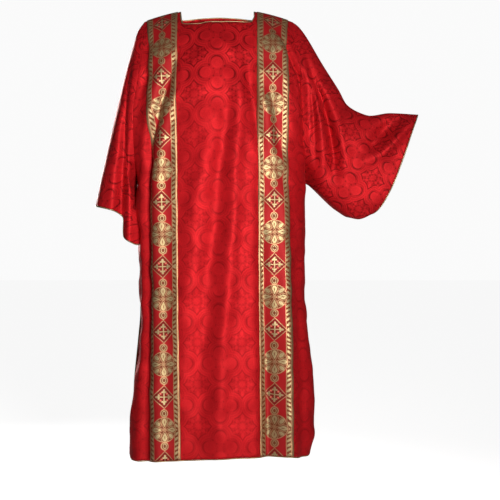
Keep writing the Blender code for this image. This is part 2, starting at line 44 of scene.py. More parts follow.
# ---- the damask body ----
# The front and the back are each one width of silk damask, cut straight, sewn together
# at the shoulders and down the sides to the slits. They hang from the shoulders, and
# every point of the cloth is worked out from its place in the cut.

WALL = 0.002            # damask with what backs it
SEAM_GAP = 0.00004      # the pieces are sewn, so nothing shows between them
NECK_HALF_WIDTH = 0.105
BAND_INNER = 0.1115     # the galloon's edges, from the centre line
BAND_OUTER = 0.2005
GATHER = 0.037          # the folds draw the columns together by this share each metre
ARMHOLE_DEPTH = 0.50
SLIT_TOP = 0.83
SLIT_CORD_START = 0.858
HEM_DOWN = 1.2715
HEM_TILT = 0.038        # the hem hangs lower on the wearer's right
HEM_SIDE_DROP = 0.009   # and lower outside the left galloon, from a little inside its edge
HEM_DROP_INSIDE = 0.016
HEM_DROP_RUN = 0.048
HEM_CORNER_RIGHT = (0.095, 0.046)   # width and height of the rounded corner
HEM_CORNER_LEFT = (0.056, 0.058)
CENTRE_TOP = -0.0017
CENTRE_SWAY = 0.0102    # the wearer leans: metres of drift for each metre down

ARMHOLE_ROWS = 84
SIDE_SEAM_ROWS = 50
SLIT_LEAD_ROWS = 4
SLIT_ROWS = 62
NECK_ROWS = 6           # rows that end at the side of the neckline
CENTRE_COLUMNS = 17     # from the centre line to the side of the neckline
BAND_COLUMNS = 14
OUTER_COLUMNS = 22      # from the galloon to the side seam,
OUTER_CROWDING = 1.5    # closer together towards it
CUT_STEP = 0.004        # step for reading a surface's slope

# The neckline: depth on the centre line, how much lower for each metre to the wearer's
# right, and how square its corners are
Neck = namedtuple("Neck", "depth tilt corner")
FRONT_NECK = Neck(0.077, 0.04, 3.6)
BACK_NECK = Neck(0.044, 0.0, 2.3)


def table(row_kind, rows):
    """Rows with named columns, in metres from millimetres; a share stays as it is."""
    scales = [1 if name in ("corner", "along", "share") else 1000 for name in row_kind._fields]
    return [row_kind(*(value / scale for value, scale in zip(row, scales))) for row in rows]


# One row for each level of a panel, in millimetres: where its middle and its two side
# edges lie. corner is how squarely it turns to its side: 1 is an ellipse, less is squarer.
PanelRow = namedtuple("PanelRow", "down mid_y mid_z edge_y edge_z right_x left_x corner")
FRONT_ROWS = table(PanelRow, (
    (0, 0, 10, 0, -28, -205, 207, 1),
    (40, -36, -11, -22, -60, -206.5, 209, 1.6),
    (90, -72, -50, -48, -108, -209, 215, 2),
    (170, -107, -122, -78, -185, -217, 231, 2),
    (300, -135, -250, -85, -300, -230, 239, 2),
    (420, -147, -370, -60, -410, -228, 241, 1.4),
    (500, -150, -450, 0, -479, -222.5, 242.5, 0.62),
    (560, -151.5, -510, 0, -536.3, -229, 242.2, 0.61),
    (700, -155, -650, 0, -670, -218.2, 241.5, 0.6),
    (830, -158, -780, 0, -798, -216.5, 241, 0.6),
    (870, -159, -820, -12, -836, -210.5, 244, 0.6),
    (950, -161, -900, -24, -913, -213, 251.5, 0.6),
    (1100, -166, -1050, -34, -1059, -232, 266, 0.6),
    (1200, -169, -1150, -40, -1157, -240.5, 265.5, 0.6),
    (1300, -172, -1250, -44, -1255, -240.5, 247, 0.6),
))
BACK_ROWS = table(PanelRow, (
    (0, 0, 10, 0, -28, -205, 207, 1),
    (40, 36, -8, 22, -60, -206.5, 209, 1.6),
    (90, 71, -46, 48, -108, -209, 215, 2),
    (170, 101, -117, 78, -185, -217, 231, 2),
    (300, 118, -246, 85, -300, -230, 239, 2),
    (420, 124, -366, 60, -410, -228, 241, 1.4),
    (500, 127, -446, 0, -479, -222.5, 242.5, 0.62),
    (560, 130, -506, 0, -536.3, -229, 242.2, 0.61),
    (700, 136, -646, 0, -670, -218.2, 241.5, 0.6),
    (830, 143, -776, 0, -798, -216.5, 241, 0.6),
    (870, 146, -816, 10, -836, -217, 241, 0.6),
    (950, 151, -896, 18, -913, -224, 247, 0.6),
    (1100, 161, -1046, 22, -1059, -237, 259, 0.6),
    (1200, 167, -1146, 23, -1157, -238.5, 258, 0.6),
    (1300, 172, -1246, 24, -1255, -240, 237, 0.6),
))

# Each fold is a line of knots on the cut, top to bottom, in millimetres: across, down,
# height, width. A valley has a height below zero, and a fold fades where it comes to 0.
FRONT_FOLDS = (
    # the broad swell down from the neckline, and the hollows beside it
    ((0, 100, 0, 34), (-8, 150, 6, 38), (-25, 200, 9, 40), (-60, 290, 8, 40), (-85, 400, 3, 38),
     (-105, 500, 0, 34)),
    ((70, 100, 0, 26), (80, 150, -7, 28), (88, 220, -9, 26), (98, 320, -5, 22), (104, 380, 0, 20)),
    ((165, 40, 0, 30), (176, 100, 7, 28), (192, 200, 9, 26), (204, 300, 8, 26), (214, 420, 4, 30),
     (220, 600, 0, 30)),
    # two long folds down the middle and the hollow between them
    ((0, 240, 0, 26), (-20, 360, 5, 28), (-44, 500, 8, 30), (-68, 660, 10, 32), (-92, 870, 9, 34),
     (-104, 1050, 5, 36), (-110, 1260, 0, 36)),
    ((34, 240, 0, 18), (24, 360, -7, 20), (6, 500, -10, 22), (-12, 660, -11, 24),
     (-36, 870, -9, 27), (-52, 1050, -6, 30), (-60, 1260, -3, 32)),
    ((66, 200, 0, 16), (60, 300, 7, 18), (48, 460, 10, 19), (38, 660, 11, 20), (18, 870, 12, 21),
     (2, 1050, 11, 24), (-4, 1300, 8, 28)),
    # down the wearer's left band: short slanting folds above, one deep fold below
    ((80, 210, 0, 14), (94, 270, -6, 14), (104, 340, -8, 15), (116, 420, -7, 15),
     (130, 500, -3, 16), (134, 560, 0, 16)),
    ((112, 220, 0, 13), (124, 290, 4, 13), (143, 390, 5, 15), (156, 480, 0, 16)),
    ((146, 220, 0, 12), (154, 290, -4, 12), (168, 380, -4, 13), (176, 460, 0, 14)),
    ((172, 500, 0, 20), (180, 620, 9, 20), (184, 800, 14, 20), (187, 980, 17, 21),
     (190, 1300, 19, 22)),
    ((108, 460, 0, 14), (116, 600, -9, 15), (121, 800, -15, 18), (126, 1000, -20, 20),
     (130, 1160, -22, 21), (132, 1320, -22, 21)),
    ((222, 600, 0, 20), (228, 800, -6, 20), (234, 1300, -7, 22)),
    # down the wearer's right band: a valley that crosses it and then keeps to its edge
    ((-104, 130, 0, 13), (-122, 200, -11, 14), (-160, 305, -15, 15), (-196, 410, -18, 15),
     (-205, 640, -14, 15), (-207, 950, -13, 16), (-207, 1320, -13, 17)),
    ((-84, 170, 0, 18), (-106, 260, 7, 19), (-146, 360, 12, 19), (-166, 460, 14, 18),
     (-168, 650, 12, 20), (-169, 970, 12, 20), (-169, 1320, 12, 21)),
    ((-148, 140, 0, 14), (-162, 210, 7, 14), (-190, 300, 7, 16), (-220, 400, 4, 14),
     (-224, 640, 5, 12), (-226, 950, 5, 12), (-226, 1300, 3, 14)),
    # beside the armholes
    ((-190, 50, 0, 14), (-206, 100, -8, 14), (-206, 190, -8, 14), (-222, 280, -4, 16),
     (-240, 360, 0, 16)),
    ((176, 50, 0, 10), (188, 90, -10, 10), (236, 170, -16, 10), (249, 220, -18, 10),
     (252, 300, -17, 11), (256, 380, -10, 14), (262, 440, 0, 16)),
)
BACK_FOLDS = (
    ((-44, 180, 0, 24), (-56, 340, 8, 24), (-86, 660, 13, 26), (-112, 1000, 14, 28),
     (-124, 1320, 10, 30)),
    ((-4, 260, 0, 22), (-12, 480, -9, 23), (-30, 800, -12, 25), (-48, 1320, -9, 28)),
    ((40, 120, 0, 22), (44, 300, 10, 23), (38, 700, 14, 25), (30, 1050, 11, 28), (34, 1320, 6, 30)),
    ((84, 280, 0, 20), (92, 500, -10, 22), (100, 850, -13, 24), (112, 1320, -11, 26)),
    ((130, 200, 0, 22), (146, 460, 10, 23), (160, 800, 14, 25), (168, 1320, 14, 28)),
    ((-140, 240, 0, 20), (-160, 480, -9, 21), (-182, 800, -12, 23), (-192, 1320, -10, 26)),
    ((190, 80, 0, 14), (214, 160, -7, 13), (226, 280, -8, 15), (240, 400, 0, 18)),
    ((-176, 100, 0, 16), (-196, 200, 7, 16), (-206, 340, 0, 18)),
)
FOLD_CLEAR_TOP = 0.10   # folds start below the shoulder
FOLD_CLEAR_SIDE = 0.035 # and stay off the side seams,
FOLD_FREE_ABOVE = 0.06  # except beside the armholes, down to this far above their foot,
FOLD_FREE_RUN = 0.08    # where they fade over this much

# Slow waves over all the cloth: their length, height, direction and start
RUMPLES = ((0.061, 0.0007, 0.35, 0.0), (0.083, 0.0009, 1.25, 1.7), (0.047, 0.0005, -0.60, 4.1),
           (0.105, 0.0010, -1.10, 2.6), (0.038, 0.0004, 0.95, 5.2))


def column(rows, name):
    """One named column of a table, as an array."""
    return np.array([getattr(row, name) for row in rows])


def smooth(xs, ys, x):
    """A monotone cubic curve through (xs, ys), read at each x."""
    step = np.diff(xs)
    slope = np.diff(ys) / step
    tangent = np.zeros(len(ys))
    tangent[0], tangent[-1] = slope[0], slope[-1]
    total = slope[:-1] + slope[1:]
    product = slope[:-1] * slope[1:]
    np.divide(2 * product, total, out=tangent[1:-1], where=product > 0)
    k = np.clip(np.searchsorted(xs, x) - 1, 0, len(step) - 1)
    t = (x - xs[k]) / step[k]
    rise = ys[k] * (1 + 2 * t) * (1 - t) ** 2 + ys[k + 1] * t * t * (3 - 2 * t)
    return rise + step[k] * t * (1 - t) * (tangent[k] * (1 - t) - tangent[k + 1] * t)


def read_row(rows, key, x):
    """Every column of a table at each x, where key names the column that x runs along."""
    xs = column(rows, key)
    names = [name for name in rows[0]._fields if name != key]
    return {name: smooth(xs, column(rows, name), x) for name in names}


def ease(x):
    """0 below 0, 1 above 1, and a soft S between."""
    x = np.clip(x, 0.0, 1.0)
    return x * x * (3 - 2 * x)


def unit(vectors):
    return vectors / np.linalg.norm(vectors, axis=-1, keepdims=True)


class Drape:
    """A panel as it hangs before its folds: points for places (across, down) of its cut."""

    LOW = 1.34
    LEVELS = 135
    STEPS = 121

    def __init__(self, rows):
        self.rows = rows
        self.levels = np.linspace(0.0, self.LOW, self.LEVELS)
        turn = np.linspace(0.0, np.pi / 2, self.STEPS)
        shares = np.linspace(0.0, 1.0, self.STEPS)
        self.lengths, self.turns = {}, {}
        for side in (-1, 1):
            points = self.section(side, self.levels[:, None], turn[None])
            runs = np.cumsum(np.linalg.norm(np.diff(points, axis=1), axis=2), axis=1)
            self.lengths[side] = runs[:, -1]
            self.turns[side] = np.array([
                np.interp(shares, np.append(0, run) / run[-1], turn) for run in runs])

    def section(self, side, down, turn):
        """Points of the cloth at a level, turn running from its middle to its side edge."""
        row = read_row(self.rows, "down", down)
        mid_x = CENTRE_TOP + CENTRE_SWAY * down
        edge_x = np.where(side > 0, row["left_x"], row["right_x"])
        fall = np.abs(np.cos(turn))
        x = mid_x + (edge_x - mid_x) * np.sin(turn)
        y = row["edge_y"] + (row["mid_y"] - row["edge_y"]) * fall ** row["corner"]
        z = row["edge_z"] + (row["mid_z"] - row["edge_z"]) * fall ** 2
        return np.stack([x, y, z], axis=-1)

    def half_width(self, across, down):
        """From the centre line to the side edge, along the cloth."""
        left = np.interp(down, self.levels, self.lengths[1])
        right = np.interp(down, self.levels, self.lengths[-1])
        return np.where(across > 0, left, right)

    def point(self, across, down):
        """Where a place of the cut hangs, read between the levels and steps worked out."""
        share = np.minimum(np.abs(across) / self.half_width(across, down), 1.0)
        level = np.clip(down / self.LOW, 0, 1) * (self.LEVELS - 1)
        place = share * (self.STEPS - 1)
        i = np.minimum(level.astype(int), self.LEVELS - 2)
        j = np.minimum(place.astype(int), self.STEPS - 2)
        level, place = level - i, place - j
        turn = 0
        for rows, weight in ((i, 1 - level), (i + 1, level)):
            for cols, share in ((j, 1 - place), (j + 1, place)):
                here = np.where(across > 0, self.turns[1][rows, cols], self.turns[-1][rows, cols])
                turn = turn + weight * share * here
        return self.section(across, down, turn)


def outward(surface, across, down, facing):
    """Outward directions of a surface; facing is -1 for the front and 1 for the back."""
    above = np.maximum(down - CUT_STEP, 0)
    sideways = surface(across + CUT_STEP, down) - surface(across - CUT_STEP, down)
    downwards = surface(across, down + CUT_STEP) - surface(across, above)
    return unit(facing * np.cross(sideways, downwards))


def fold_lift(folds, x, y):
    """How far folds, given as lines of knots in millimetres, lift the cloth at each place."""
    total = np.zeros(np.broadcast(x, y).shape)
    for fold in folds:
        knots = np.array(fold) / 1000
        nearest = np.full(total.shape, np.inf)
        lift = np.zeros(total.shape)
        for start, end in zip(knots[:-1], knots[1:]):
            run = end[:2] - start[:2]
            along = ((x - start[0]) * run[0] + (y - start[1]) * run[1]) / (run @ run)
            along = np.clip(along, 0, 1)
            away = np.hypot(x - start[0] - along * run[0], y - start[1] - along * run[1])
            height, width = start[2:, None] + (end - start)[2:, None] * ease(along).ravel()
            here = height * np.exp(-(away.ravel() / width) ** 2)
            lift = np.where(away < nearest, here.reshape(total.shape), lift)
            nearest = np.minimum(nearest, away)
        total += lift
    return total


def rumple(x, y):
    """A slight unevenness of the cloth."""
    return sum(
        height * np.sin(2 * np.pi * (x * math.cos(turn) + y * math.sin(turn)) / length + start)
        for length, height, turn, start in RUMPLES)


def fold_height(drape, folds, across, down):
    """How far the folds lift a panel at each place of its cut."""
    to_side = drape.half_width(across, down) - np.abs(across)
    clear = ease(to_side / FOLD_CLEAR_SIDE)
    armhole = ease((ARMHOLE_DEPTH - FOLD_FREE_ABOVE - down) / FOLD_FREE_RUN)
    lift = fold_lift(folds, across, down) * np.maximum(clear, armhole)
    return (lift + rumple(across, down) * clear) * ease(down / FOLD_CLEAR_TOP)


def neck_edge(across, neck):
    """How far below the shoulder line the neckline lies."""
    side_end = seam_levels()[NECK_ROWS]
    share = np.minimum(np.abs(across) / NECK_HALF_WIDTH, 1.0)
    round_off = (1 - share ** neck.corner) ** (1 / neck.corner)
    return side_end + (neck.depth - neck.tilt * across - side_end) * round_off


def hem_edge(across, to_side):
    """How far below the shoulder line the hem lies, with its rounded corner."""
    wide = np.where(across > 0, HEM_CORNER_LEFT[0], HEM_CORNER_RIGHT[0])
    tall = np.where(across > 0, HEM_CORNER_LEFT[1], HEM_CORNER_RIGHT[1])
    short = np.maximum(1 - to_side / wide, 0.0)
    outer = HEM_SIDE_DROP * ease((across - BAND_OUTER + HEM_DROP_INSIDE) / HEM_DROP_RUN)
    return HEM_DOWN - HEM_TILT * across + outer - tall * (1 - np.sqrt(1 - short ** 2))


def seam_levels():
    """The rows from the shoulder to the armpit and on to the slit top."""
    armhole = np.linspace(0, ARMHOLE_DEPTH, ARMHOLE_ROWS + 1)
    return np.append(armhole, np.linspace(ARMHOLE_DEPTH, SLIT_TOP, SIDE_SEAM_ROWS + 1)[1:])


def row_levels(top, low):
    """How far down each row lies in columns that run from top to low."""
    seam = seam_levels()[:, None]
    start = seam[NECK_ROWS]
    first = (SLIT_CORD_START - SLIT_TOP) / (HEM_DOWN - SLIT_TOP)
    slit = np.append(np.linspace(0, first, SLIT_LEAD_ROWS + 1)[1:],
                     np.linspace(first, 1, SLIT_ROWS)[1:])[:, None]
    upper = top + (seam - start) * (SLIT_TOP - top) / (SLIT_TOP - start)
    return np.concatenate([upper, SLIT_TOP + slit * (low - SLIT_TOP)])


def panel_columns():
    """A panel's columns from the wearer's right to left: side, across, share past the band."""
    centre = np.linspace(0, NECK_HALF_WIDTH, CENTRE_COLUMNS)
    band = np.linspace(BAND_INNER, BAND_OUTER, BAND_COLUMNS + 1)
    shares = 1 - (1 - np.linspace(0, 1, OUTER_COLUMNS + 1)[1:]) ** OUTER_CROWDING
    half = [(across, 0.0) for across in (*centre, *band)]
    half += [(BAND_OUTER, share) for share in shares]
    right = [(-1.0, *entry) for entry in reversed(half[1:])]
    return np.array(right + [(1.0, *entry) for entry in half])


def hang_panel(drape, folds, neck, facing):
    """A panel's points, its outward directions and its cut, as rows by columns."""
    side, across, share = panel_columns().T
    hem_half = drape.half_width(side, np.full(len(side), HEM_DOWN))
    to_side = (1 - share) * (hem_half - across * (1 - GATHER * HEM_DOWN))
    top = neck_edge(side * across, neck)
    low = hem_edge(side * (hem_half - to_side), to_side)
    down = row_levels(top, low)
    gathered = across * (1 - GATHER * down)
    place = side * (gathered + share * (drape.half_width(side, down) - gathered))

    def folded(across, down):
        edge = drape.half_width(across, down)
        across = np.clip(across, -edge, edge)
        lift = fold_height(drape, folds, across, down)[..., None]
        return drape.point(across, down) + outward(drape.point, across, down, facing) * lift

    points = folded(place, down)
    normals = outward(folded, place, down, facing)
    seam = facing * SEAM_GAP / 2
    points[0, across >= NECK_HALF_WIDTH, 1] = seam
    points[ARMHOLE_ROWS:ARMHOLE_ROWS + SIDE_SEAM_ROWS + 1, [0, -1], 1] = seam
    normals[0, :, 1] = 0
    normals[ARMHOLE_ROWS:ARMHOLE_ROWS + SIDE_SEAM_ROWS + 1, [0, -1], 1] = 0
    cut = np.stack([place + side * across * GATHER * down, -down], axis=2)
    return points, unit(normals), cut


def lay_cloth(name, points, cut, finish, outer=True, hole=None):
    """A cloth from a grid of points, without the cells of hole, with its cut as its UV map."""
    rows, cols = points.shape[:2]
    i, j = np.meshgrid(np.arange(rows - 1), np.arange(cols - 1), indexing="ij")
    a = (i * cols + j)[..., None] + np.array([0, cols, cols + 1, 1])
    if hole is not None:
        a = a[~hole]
    a = a.reshape(-1, 4)
    if not outer:
        a = a[:, ::-1]
    used, corners = np.unique(a, return_inverse=True)
    mesh = bpy.data.meshes.new(name)
    mesh.from_pydata(points.reshape(-1, 3)[used].tolist(), [], corners.reshape(-1, 4).tolist())
    layer = mesh.uv_layers.new(name="cut")
    layer.data.foreach_set("uv", cut.reshape(-1, 2)[a.ravel()].ravel())
    mesh.materials.append(finish)
    mesh.shade_smooth()
    item = bpy.data.objects.new(name, mesh)
    bpy.context.scene.collection.objects.link(item)
    return item


def apply(item, kind, **settings):
    """Add a modifier to a piece and apply it."""
    made = item.modifiers.new(kind.lower(), kind)
    for name, value in settings.items():
        setattr(made, name, value)
    with bpy.context.temp_override(object=item, active_object=item, selected_objects=[item]):
        bpy.ops.object.modifier_apply(modifier=made.name)


def arithmetic(operation):
    """A Python operator between a value and another that adds one Math node."""
    return lambda self, other: self.math(operation, other)


class Shade:
    """A value in a material's shader; arithmetic on it adds Math nodes."""

    def __init__(self, socket):
        self.socket = socket

    def node(self, kind, settings, inputs, output=0):
        """Add a node of a kind, with its settings, and join its inputs."""
        tree = self.socket.id_data
        made = tree.nodes.new(kind)
        for name, value in settings.items():
            setattr(made, name, value)
        for key, value in inputs.items():
            if isinstance(value, Shade):
                tree.links.new(value.socket, made.inputs[key])
            else:
                made.inputs[key].default_value = value
        return Shade(made.outputs[output])

    def math(self, operation, *values, clamp=False):
        inputs = dict(enumerate((self, *values)))
        return self.node("ShaderNodeMath", {"operation": operation, "use_clamp": clamp}, inputs)

    __add__ = __radd__ = arithmetic("ADD")
    __mul__ = __rmul__ = arithmetic("MULTIPLY")
    __sub__ = arithmetic("SUBTRACT")
    __truediv__ = arithmetic("DIVIDE")
    __mod__ = arithmetic("FLOORED_MODULO")

    def __rsub__(self, other):
        return self.math("MULTIPLY_ADD", -1.0, other)

    def __abs__(self):
        return self.math("ABSOLUTE")

    def hypot(self, other):
        return (self * self + other * other).math("SQRT")

    def least(self, *others):
        return functools.reduce(lambda low, other: low.math("MINIMUM", other), others, self)

    def most(self, *others):
        return functools.reduce(lambda high, other: high.math("MAXIMUM", other), others, self)

    def covers(self, soft=0.3):
        """1 where a distance is below zero, 0 where it is above, with a soft edge."""
        return self.math("MULTIPLY_ADD", -1.0 / soft, 0.5, clamp=True)

    def part(self, index):
        """One coordinate of a place."""
        return self.node("ShaderNodeSeparateXYZ", {}, {0: self}, output=index)

    def stretched(self, *factors):
        """A place with each coordinate multiplied."""
        return self.node("ShaderNodeVectorMath", {"operation": "MULTIPLY"}, {0: self, 1: factors})

    def noise(self, scale, detail=2.0):
        """A cloudy value about 0.5 at each place."""
        inputs = {"Vector": self, "Scale": scale, "Detail": detail}
        return self.node("ShaderNodeTexNoise", {}, inputs)

    def bump(self, strength, distance):
        """The value as a height that the light sees."""
        inputs = {"Strength": strength, "Distance": distance, "Height": self}
        return self.node("ShaderNodeBump", {}, inputs)

    def colour(self, low, high):
        """From one colour to another as the value goes from 0 to 1."""
        settings = {"data_type": "RGBA", "clamp_factor": True}
        return self.node("ShaderNodeMix", settings, {0: self, 6: low, 7: high}, output=2)


def start_finish(name, **constants):
    """A new material and its shader, with the values that are the same all over."""
    finish = bpy.data.materials.new(name)
    finish.use_nodes = True
    shader = finish.node_tree.nodes["Principled BSDF"]
    for key, value in constants.items():
        shader.inputs[key.replace("_", " ")].default_value = value
    place = finish.node_tree.nodes.new("ShaderNodeUVMap")
    place.uv_map = "cut"
    return finish, shader, Shade(place.outputs[0])


def join(shader, **sockets):
    """Link values to a shader's sockets."""
    for key, value in sockets.items():
        target = shader.inputs[key.replace("_", " ")]
        shader.id_data.links.new(value.socket, target)


def circle(x, y, at_x, at_y, radius):
    """Distance outside a circle."""
    return (x - at_x).hypot(y - at_y) - radius


def circles(x, y, *places):
    """Distance outside the nearest of some circles, each with its centre and radius."""
    return Shade.least(*(circle(x, y, *place) for place in places))


def ring(distance, thick):
    """Distance outside a line of a thickness along an outline."""
    return abs(distance) - thick / 2


def ellipse(x, y, at_x, at_y, wide, tall):
    """About the distance outside an ellipse."""
    return (((x - at_x) / wide).hypot((y - at_y) / tall) - 1) * min(wide, tall)


def flower(x, y, petals, radius, depth):
    """About the distance outside a round flower with a number of petals."""
    turn = y.math("ARCTAN2", x) * petals
    return x.hypot(y) - turn.math("COSINE") * depth - radius


# The damask's figure: quatrefoils in frames that cross where they meet, and a cross of
# leaves in each space between four frames, in millimetres of the cut.
REPEAT_X = 124.0
REPEAT_Y = 111.5
FIGURE_DROP = 126.0     # a quatrefoil's centre below the shoulder line
LOBE_X = 29.9
LOBE_Y = 26.8
LOBE_RADIUS = 16.5
SICKLE_SHIFT = 4.5
FRAME_RADIUS = 35.8     # from a lobe's centre to the outer edge of its frame

RED_LIT = (0.66, 0.012, 0.018, 1)
RED_DEEP = (0.06, 0.0004, 0.0010, 1)


def sickle(x, y, at_x, at_y):
    """The dark sickle on the outer side of a lobe, thinning to nothing at its ends."""
    far_x, far_y = (SICKLE_SHIFT if at_x else 0), (SICKLE_SHIFT if at_y else 0)
    return circle(x, y, at_x + far_x, at_y + far_y, LOBE_RADIUS + 0.5).most(
        LOBE_RADIUS + 0.3 - (x - at_x).hypot(y - at_y))


def damask(name, drop=FIGURE_DROP, scale=1.0, faint=1.0):
    """Silk damask: a satin figure on a duller ground, painted fainter down the cloth where the
    light shows the satin less.
    """
    finish, shader, cut = start_finish(
        name, Metallic=0.36, Specular_IOR_Level=0.20, Specular_Tint=(1.0, 0.5, 0.45, 1),
        Sheen_Weight=0.04, Sheen_Roughness=0.4, Sheen_Tint=(1.0, 0.2, 0.2, 1))
    u = cut.part(0) * (1000.0 * scale)
    v = cut.part(1) * (1000.0 * scale)
    stray = (cut.noise(95.0) - 0.5) * 3.2
    x = abs((u + REPEAT_X * 10.5 + stray) % REPEAT_X - REPEAT_X / 2)
    y = abs((v + (REPEAT_Y * 20.5 + drop) - stray) % REPEAT_Y - REPEAT_Y / 2)
    corner_x = REPEAT_X / 2 - x
    corner_y = REPEAT_Y / 2 - y
    reach = circles(x, y, (LOBE_X, 0, 0), (0, LOBE_Y, 0))

    # The quatrefoil: four lobes round a small heart, each with a rosette and a dark sickle
    lobes = (reach - LOBE_RADIUS).covers(2.4)
    rim = ring(reach - 13.0, 2.4).covers(1.8)
    rosette = flower(x - LOBE_X, y, 5, 6.0, 1.8).least(flower(x, y - LOBE_Y, 5, 6.0, 1.8))
    rosette = ring(rosette, 1.8).covers(1.6)
    heart = flower(x, y, 4, 6.6, -1.6).covers(2.4)
    figure = (lobes * 0.35 + rim * 0.45 - rosette * 0.25).most(heart * 0.8)
    sickles = sickle(x, y, LOBE_X, 0).least(sickle(x, y, 0, LOBE_Y)).covers(1.4)
    notches = circles(x, y, (9.8, 10.0, 2.3), (20.4, 19.6, 2.8)).covers(1.6)

    # The frame: two light lines and a knot where it crosses the next, dark dashes outside
    inside = (reach - (FRAME_RADIUS - 0.8)).covers(1.4) * (25.2 - reach).covers(1.4)
    lines = ring(reach - 26.7, 2.6).least(ring(reach - 33.4, 2.8)).covers(1.6)
    knots = circle(corner_x, y, 0, 0, 6.6).least(circle(x, corner_y, 0, 0, 6.2)).covers(2.4)
    gap = (4.6 - circle(x, y, 34.7, 35.5, 0)).covers(2.4)
    dashes = ring(reach - (FRAME_RADIUS + 1.4), 2.9).covers(1.4) * gap

    # Between the frames: a cross of four leaves round a flower, with buds and dark eyes
    outside = (FRAME_RADIUS + 2.2 - reach).covers(1.4)
    leaves = ellipse(corner_x, corner_y, 29.5, 0, 10.5, 4.4).least(
        ellipse(corner_x, corner_y, 0, 26.0, 4.6, 9.5)).covers(1.8)
    bloom = flower(corner_x, corner_y, 8, 8.6, 1.3).covers(1.8)
    buds = circles(corner_x, corner_y, (15.2, 13.6, 4.4), (17.6, 4.2, 3.0), (4.4, 15.6, 3.0),
                   (24.0, 18.0, 3.0), (18.0, 22.5, 3.0)).covers(1.8)
    eyes = circles(corner_x, corner_y, (10.4, 24.6, 2.1), (11.0, 18.0, 2.0), (11.8, 6.2, 2.0),
                   (21.0, 10.6, 2.2), (5.4, 10.6, 1.5)).covers(1.3)

    # The cloth's own unevenness, in patches, in threads and in slubs along the weft
    mottle = cut.noise(24.0, 4.0)
    grain = cut.noise(420.0)
    slub = cut.stretched(260.0, 1300.0, 1.0).noise(1.0)
    # painted sheen: the figure's contrast fades down the cloth to faint, for the light catching the
    # satin less lower down
    clear = (v * (1 / 260.0) + 1.9).math("MAXIMUM", faint).math("MINIMUM", 1.0)
    light = figure.most(inside * 0.40 + lines * 0.50, knots * 0.85,
                        outside * leaves, outside * bloom * 0.75, outside * buds * 0.80)
    light = light * (0.45 + mottle * 1.1)
    outline = ring(reach - 23.4, 1.3).least(ring(reach - 30.0, 1.2)).covers(1.2) * 0.4
    dark = sickles.most(dashes, outline, notches * 0.80, outside * eyes,
                        outside * (1.0 - light) * 0.25) * (0.55 + grain * 0.9)
    tone = ((light * 0.17 - dark * 0.40) * clear + (mottle - 0.5) * 0.34 + (grain - 0.5) * 0.36
            + (slub - 0.5) * 0.20 + 0.60)
    height = light * 0.12 - dark * 0.12 + slub * 0.05
    join(shader, Base_Color=tone.colour(RED_DEEP, RED_LIT), Normal=height.bump(0.35, 0.001),
         Roughness=0.61 - light * 0.04 + (mottle - 0.5) * 0.08)
    return finish


damask_body = damask("body damask", faint=0.5)

panels, normals, cuts, bodies = {}, {}, {}, {}
neck_first = OUTER_COLUMNS + BAND_COLUMNS + 1
for name, rows, folds, neck, facing in (("front", FRONT_ROWS, FRONT_FOLDS, FRONT_NECK, -1),
                                        ("back", BACK_ROWS, BACK_FOLDS, BACK_NECK, 1)):
    panels[name], normals[name], cuts[name] = hang_panel(Drape(rows), folds, neck, facing)
    hole = np.zeros((panels[name].shape[0] - 1, panels[name].shape[1] - 1), bool)
    hole[:NECK_ROWS, neck_first:-neck_first] = True
    body = lay_cloth("cloth_" + name, panels[name], cuts[name], damask_body, facing < 0, hole)
    apply(body, "SOLIDIFY", thickness=WALL, offset=0)
    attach(body, "root")
    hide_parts(name, name + "_side_left", name + "_side_right")
    bodies[name] = body

# ---- the sleeves ----
# Two wide sleeves of the same damask, each one piece folded at its upper edge and sewn
# under the arm, set to the straight armholes. The wearer's left arm is raised and its
# sleeve spreads; the right arm hangs, and its sleeve folds over in front.

SLEEVE_RINGS = 92
UNDER_SQUARE = 0.55     # how much squarer a sleeve is at its under edge than at its upper one
ARMHOLE_BLEND = 0.35    # share of the sleeve that still follows the armhole's own curve
HANGING_HUG = 0.105     # how far the hanging sleeve's front laps round the body's side
HUG_BLEND = 0.8         # share of the sleeve over which it comes to do so

# One row for each station of a sleeve, 0 at the armhole and 1 at the cuff: its
# upper edge, its under edge, how far it swells to front and back, and how far the
# line between the two edges bows towards the cuff.
SleeveRow = namedtuple(
    "SleeveRow", "along upper_x upper_z under_x under_z mid_y front back bow")
RAISED_ROWS = table(SleeveRow, (
    (0, 207, -28, 242.5, -479, 0, 85, 85, 0),
    (0.05, 222.5, -39, 252, -483.5, 0, 84, 84, 0),
    (0.1, 242, -63, 260, -490, 0, 83, 83, 0),
    (0.3, 291, -146, 292.5, -521.5, 0, 78, 76, 2),
    (0.48, 337, -220, 321, -548, -4, 72, 70, 6),
    (0.575, 360, -261, 338, -560, -6, 68, 66, 10),
    (0.68, 402, -286, 358, -572.5, -8, 62, 60, 18),
    (0.73, 425, -292, 368.5, -574.8, -9, 60, 58, 20),
    (0.85, 480, -284.8, 392, -579, -10, 55, 53, 26),
    (1, 556, -289, 420, -566, -10, 50, 48, 32),
))
HANGING_ROWS = table(SleeveRow, (
    (0, -205, -28, -222.5, -479, 0, 85, 85, 16),
    (0.06, -224, -55, -227.2, -484.5, 0, 84, 84, 22),
    (0.115, -233.5, -85, -226.8, -494.5, 0, 83, 83, 28),
    (0.21, -246.4, -134, -225.8, -511, 0, 80, 82, 34),
    (0.47, -280, -268, -224.4, -555, 0, 78, 82, 26),
    (0.73, -310.8, -403, -223.6, -599, 2, 80, 82, 12),
    (1, -341.5, -542, -222.8, -644, 4, 86, 84, 0),
))

